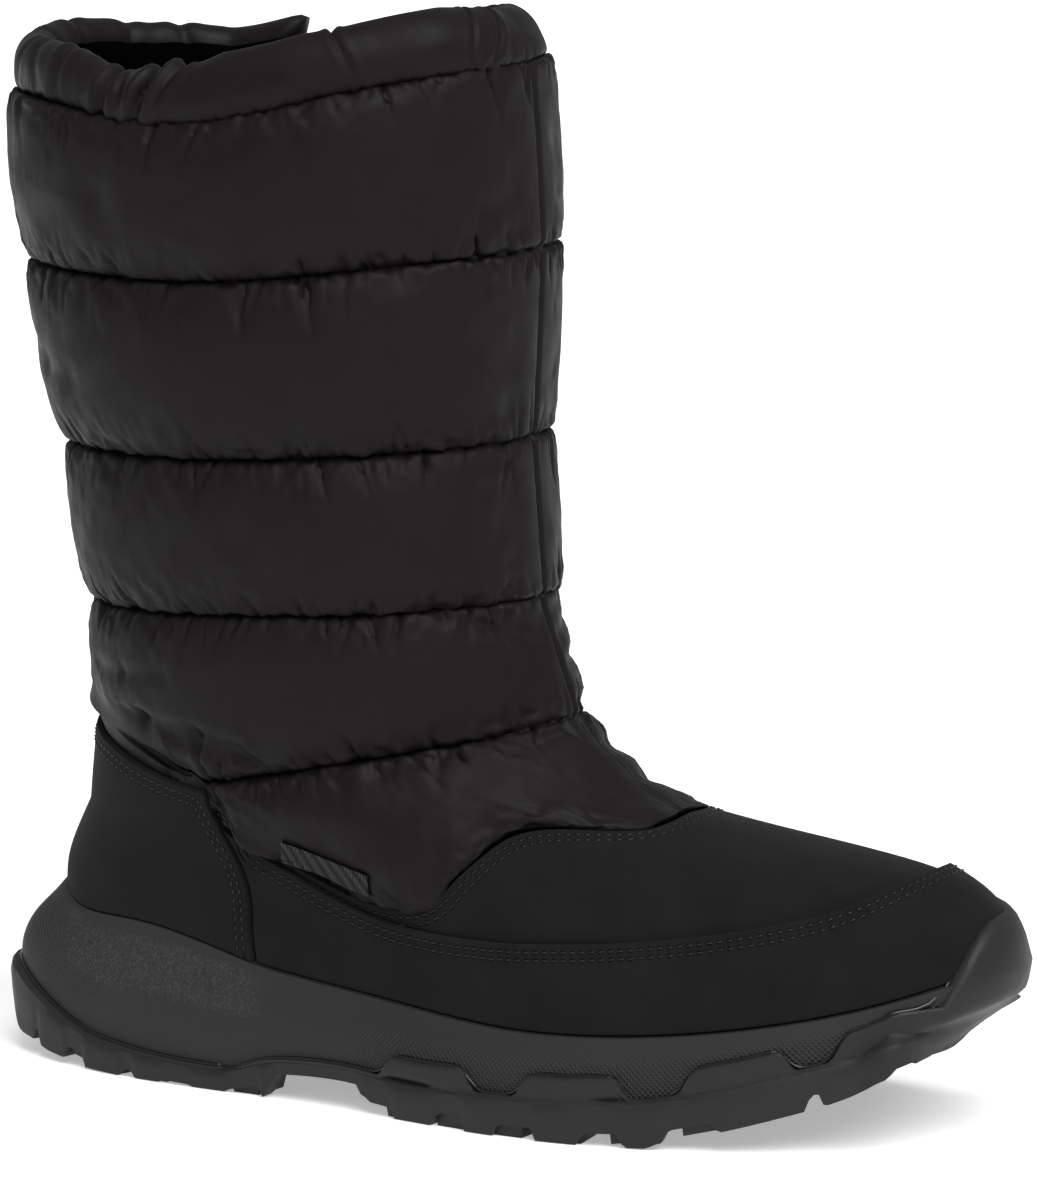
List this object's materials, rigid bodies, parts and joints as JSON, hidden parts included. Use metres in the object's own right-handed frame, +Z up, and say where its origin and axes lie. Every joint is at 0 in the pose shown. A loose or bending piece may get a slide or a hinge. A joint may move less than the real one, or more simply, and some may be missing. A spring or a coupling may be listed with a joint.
{
  "type": "winter boot",
  "caption": "Tall right winter boot: quilted padded shaft with a rolled collar and side zip on a nubuck foot, foam midsole and lugged rubber outsole.",
  "frame": {"origin": "middle of the footprint on the floor plane, under the centre of the bounding box", "axes": "+X towards the toe, +Y towards the medial (inner) side, +Z up"},
  "size_m": [0.3063, 0.1237, 0.2985],
  "materials": {
    "nubuck": "matt black nubuck, short nap",
    "nubuck_overlay": "matt black nubuck overlay, double stitched along its edge",
    "quilted_nylon": "black woven nylon, padded and quilted, low sheen",
    "eva_foam": "moulded charcoal EVA foam with fine hatched patches",
    "outsole_rubber": "black moulded rubber, satin",
    "footbed_textile": "black brushed knit over foam",
    "webbing": "black woven tape, bare",
    "zip_tape": "black woven zip tape with a nylon coil",
    "zip_enamel": "black enamel over die-cast zinc"
  },
  "bodies": {
    "boot": {"upper": "nubuck", "mudguard": "nubuck_overlay", "heel_counter": "nubuck_overlay", "shaft": "quilted_nylon", "collar": "quilted_nylon", "midsole": "eva_foam", "outsole": "outsole_rubber", "insole": "footbed_textile", "heel_tab": "webbing", "side_label": "webbing", "zip": "zip_tape", "zip_slider": "zip_enamel"},
    "pull": {"zip_pull": "zip_enamel"}
  },
  "joints": [
    {"name": "pull_swing", "type": "hinge", "parent": "boot", "child": "pull", "pos_m": [-0.09435, 0.05888, 0.2637], "axis": [0.9654, 0.2609, 0], "range_deg": [0, 150]}
  ]
}
